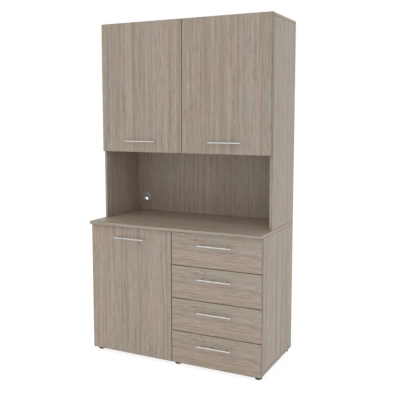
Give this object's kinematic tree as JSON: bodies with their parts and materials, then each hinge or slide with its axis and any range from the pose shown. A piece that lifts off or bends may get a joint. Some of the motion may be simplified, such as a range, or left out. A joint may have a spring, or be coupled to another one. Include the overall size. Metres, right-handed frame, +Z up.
{
  "type": "mini kitchen unit",
  "caption": "Tall wood-decor kitchen cupboard: base with hinged door and drawers, worktop, open niche and shallower hinged-door wall part on top, bar handles, low round feet.",
  "frame": {"origin": "on the floor, in the middle of the outermost width and depth, handles included", "axes": "+Z up, +X to the right as one faces the doors, the front looks along -Y"},
  "size_m": [1.2, 0.608, 2.175],
  "materials": {
    "board_grain_up": "melamine-faced board, grey-brown wood decor, grain upright",
    "board_grain_across": "melamine-faced board, grey-brown wood decor, grain level",
    "satin_handles": "satin",
    "zinc_screws": "zinc plated",
    "painted_steel_trays": "powder coated, fine satin",
    "zinc_slides": "zinc plated",
    "nickel_hinges": "nickel plated",
    "steel_pins": "nickel plated",
    "beech_dowels": "raw beech",
    "black_feet": "moulded black",
    "grey_outlet": "moulded grey"
  },
  "bodies": {
    "cabinet": {"bottom_panel": "board_grain_across", "base_left_side": "board_grain_up", "base_right_side": "board_grain_up", "base_partition": "board_grain_up", "base_back_panel": "board_grain_up", "base_shelf": "board_grain_across", "worktop": "board_grain_across", "hutch_left_side": "board_grain_up", "hutch_right_side": "board_grain_up", "hutch_top_panel": "board_grain_across", "hutch_floor_panel": "board_grain_across", "hutch_partition": "board_grain_up", "hutch_back_panel": "board_grain_up", "hutch_left_shelf": "board_grain_across", "hutch_right_shelf": "board_grain_across", "shelf_pins": "steel_pins", "carcass_dowels": "beech_dowels", "feet": "black_feet", "cable_outlet_sleeve": "grey_outlet", "hinge_arms": "nickel_hinges", "hinge_plates": "nickel_hinges", "hinge_plate_screws": "zinc_screws", "cabinet_slides": "zinc_slides"},
    "base_door": {"base_door": "board_grain_up", "base_door_handle": "satin_handles", "base_door_handle_screws": "zinc_screws", "base_door_hinge_cups": "nickel_hinges"},
    "hutch_left_door": {"hutch_left_door": "board_grain_up", "hutch_left_door_handle": "satin_handles", "hutch_left_door_handle_screws": "zinc_screws", "hutch_left_door_hinge_cups": "nickel_hinges"},
    "hutch_right_door": {"hutch_right_door": "board_grain_up", "hutch_right_door_handle": "satin_handles", "hutch_right_door_handle_screws": "zinc_screws", "hutch_right_door_hinge_cups": "nickel_hinges"},
    "drawer_1": {"drawer_1_front": "board_grain_across", "drawer_1_tray": "painted_steel_trays", "drawer_1_handle": "satin_handles", "drawer_1_handle_screws": "zinc_screws", "drawer_1_slides": "zinc_slides"},
    "drawer_1_middle": {"drawer_1_middle_slides": "zinc_slides"},
    "drawer_2": {"drawer_2_front": "board_grain_across", "drawer_2_tray": "painted_steel_trays", "drawer_2_handle": "satin_handles", "drawer_2_handle_screws": "zinc_screws", "drawer_2_slides": "zinc_slides"},
    "drawer_2_middle": {"drawer_2_middle_slides": "zinc_slides"},
    "drawer_3": {"drawer_3_front": "board_grain_across", "drawer_3_tray": "painted_steel_trays", "drawer_3_handle": "satin_handles", "drawer_3_handle_screws": "zinc_screws", "drawer_3_slides": "zinc_slides"},
    "drawer_3_middle": {"drawer_3_middle_slides": "zinc_slides"},
    "drawer_4": {"drawer_4_front": "board_grain_across", "drawer_4_tray": "painted_steel_trays", "drawer_4_handle": "satin_handles", "drawer_4_handle_screws": "zinc_screws", "drawer_4_slides": "zinc_slides"},
    "drawer_4_middle": {"drawer_4_middle_slides": "zinc_slides"},
    "outlet_cap": {"cable_outlet_cap": "grey_outlet"}
  },
  "joints": [
    {"name": "base_door_swing", "type": "hinge", "parent": "cabinet", "child": "base_door", "pos_m": [-0.5915, -0.268, 0.124], "axis": [0, 0, -1], "range_deg": [0, 95]},
    {"name": "hutch_left_door_swing", "type": "hinge", "parent": "cabinet", "child": "hutch_left_door", "pos_m": [-0.5915, -0.125, 1.438], "axis": [0, 0, -1], "range_deg": [0, 95]},
    {"name": "hutch_right_door_swing", "type": "hinge", "parent": "cabinet", "child": "hutch_right_door", "pos_m": [0.5915, -0.125, 1.438], "axis": [0, 0, 1], "range_deg": [0, 95]},
    {"name": "drawer_1_pull", "type": "slide", "parent": "cabinet", "child": "drawer_1", "axis": [0, -1, 0], "range_m": [0, 0.45]},
    {"name": "drawer_1_middle_slide", "type": "slide", "parent": "cabinet", "child": "drawer_1_middle", "axis": [0, -1, 0], "range_m": [0, 0.225]},
    {"name": "drawer_2_pull", "type": "slide", "parent": "cabinet", "child": "drawer_2", "axis": [0, -1, 0], "range_m": [0, 0.45]},
    {"name": "drawer_2_middle_slide", "type": "slide", "parent": "cabinet", "child": "drawer_2_middle", "axis": [0, -1, 0], "range_m": [0, 0.225]},
    {"name": "drawer_3_pull", "type": "slide", "parent": "cabinet", "child": "drawer_3", "axis": [0, -1, 0], "range_m": [0, 0.45]},
    {"name": "drawer_3_middle_slide", "type": "slide", "parent": "cabinet", "child": "drawer_3_middle", "axis": [0, -1, 0], "range_m": [0, 0.225]},
    {"name": "drawer_4_pull", "type": "slide", "parent": "cabinet", "child": "drawer_4", "axis": [0, -1, 0], "range_m": [0, 0.45]},
    {"name": "drawer_4_middle_slide", "type": "slide", "parent": "cabinet", "child": "drawer_4_middle", "axis": [0, -1, 0], "range_m": [0, 0.225]},
    {"name": "outlet_cap_turn", "type": "hinge", "parent": "cabinet", "child": "outlet_cap", "pos_m": [-0.512, 0.288, 0.987], "axis": [0, 1, 0], "continuous": true}
  ],
  "couplings": [
    {"joint": "drawer_1_middle_slide", "follows": "drawer_1_pull", "ratio": 0.5},
    {"joint": "drawer_2_middle_slide", "follows": "drawer_2_pull", "ratio": 0.5},
    {"joint": "drawer_3_middle_slide", "follows": "drawer_3_pull", "ratio": 0.5},
    {"joint": "drawer_4_middle_slide", "follows": "drawer_4_pull", "ratio": 0.5}
  ]
}
